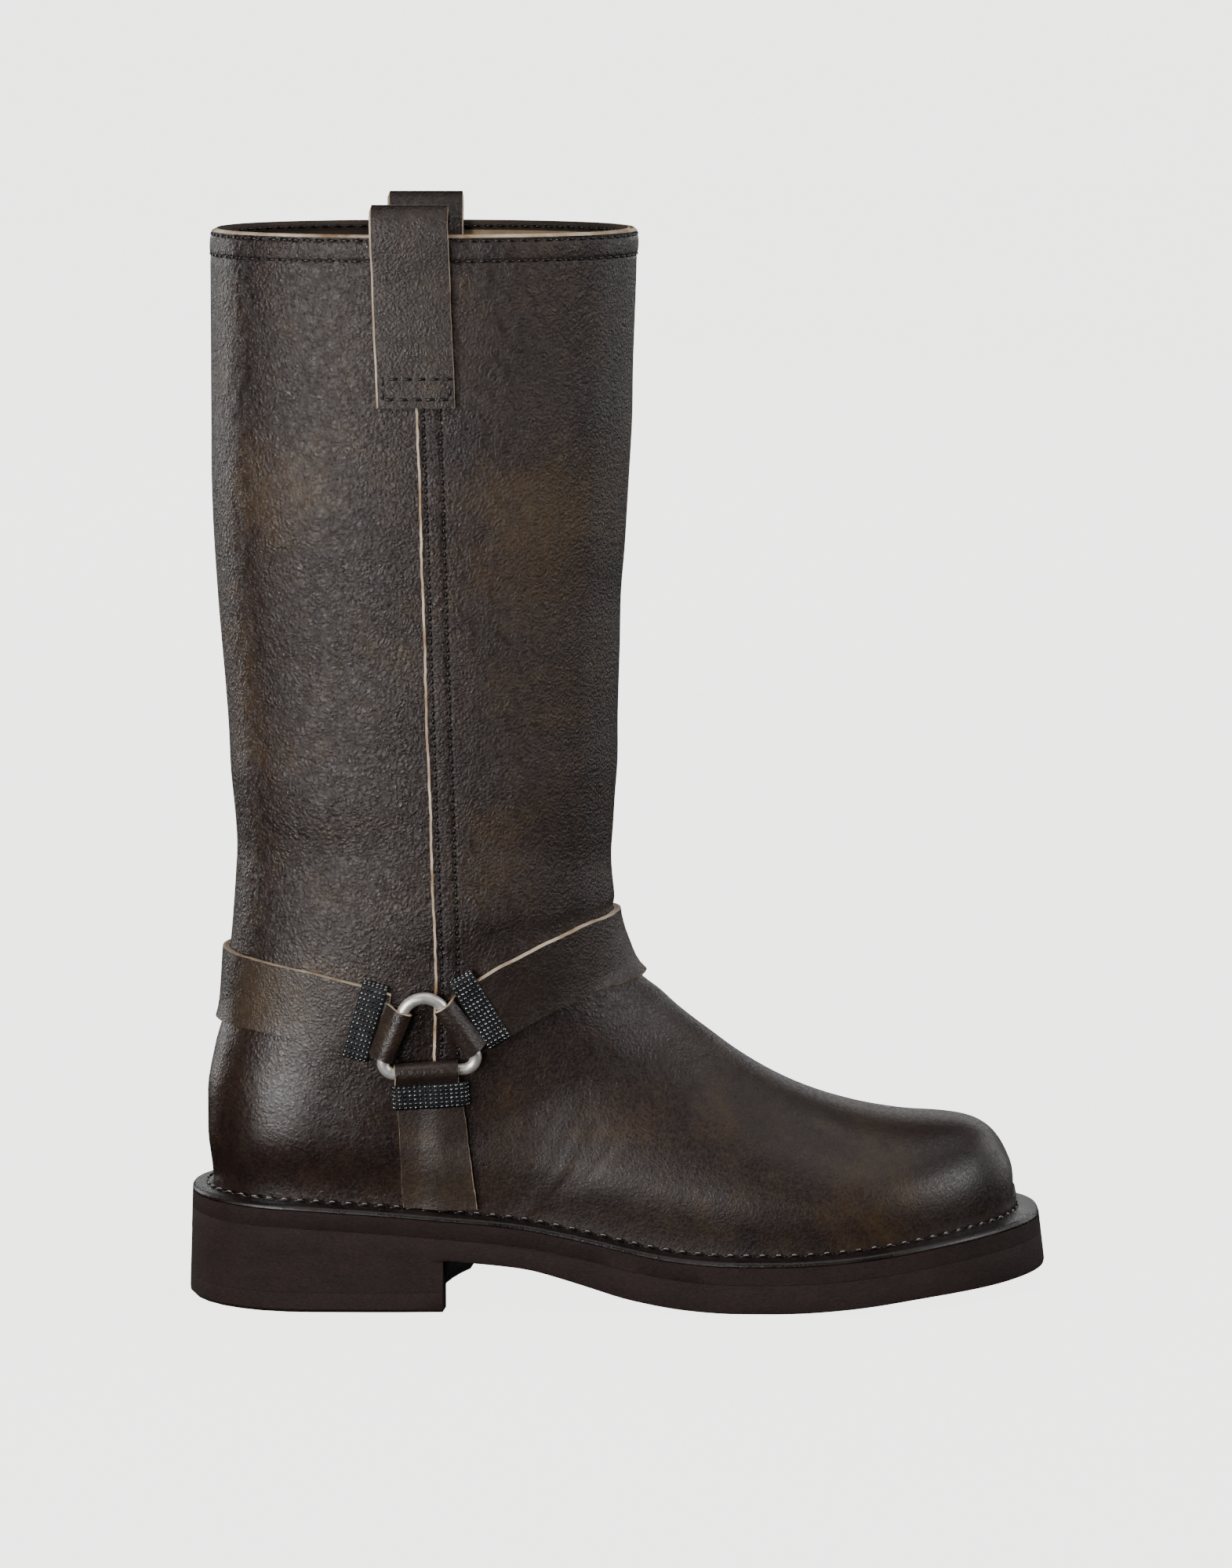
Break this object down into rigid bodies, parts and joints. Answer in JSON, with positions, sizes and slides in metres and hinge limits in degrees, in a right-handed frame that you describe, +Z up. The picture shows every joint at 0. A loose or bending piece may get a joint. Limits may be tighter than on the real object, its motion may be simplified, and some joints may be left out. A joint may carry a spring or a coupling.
{
  "type": "biker boot",
  "caption": "Pull-on leather biker boot with a tall straight shaft, harness straps and rings at the ankle, pull loops and a thick rubber sole with block heel.",
  "frame": {"origin": "on the floor under the heel, at the middle of the heel's flat underside where the back of the foot stands", "axes": "+X to the toe, +Y to the inner (big toe) side of this right boot, +Z up"},
  "size_m": [0.2866, 0.1146, 0.3631],
  "materials": {
    "upper_leather": "dark brown antiqued leather, satin",
    "strap_leather": "dark brown leather, raw cream cut edges",
    "lining_leather": "undyed tan leather",
    "sole_rubber": "matt dark brown rubber",
    "welt_edge": "burnished dark brown leather edge",
    "ring_nickel": "satin nickel plate",
    "keeper_beads": "black mesh band set with small gunmetal beads"
  },
  "bodies": {
    "root": {"heel_top_lift": "sole_rubber", "heel_block": "sole_rubber", "outsole": "sole_rubber", "midsole": "sole_rubber", "welt": "welt_edge", "insole": "lining_leather", "upper": "upper_leather", "strap_rear": "strap_leather", "strap_front": "strap_leather", "strap_under_lateral": "strap_leather", "strap_under_medial": "strap_leather", "pull_loop_lateral": "strap_leather", "pull_loop_medial": "strap_leather", "ring_lateral": "ring_nickel", "ring_medial": "ring_nickel", "keeper_rear_lateral": "keeper_beads", "keeper_front_lateral": "keeper_beads", "keeper_under_lateral": "keeper_beads", "keeper_rear_medial": "keeper_beads", "keeper_front_medial": "keeper_beads", "keeper_under_medial": "keeper_beads"}
  },
  "joints": []
}
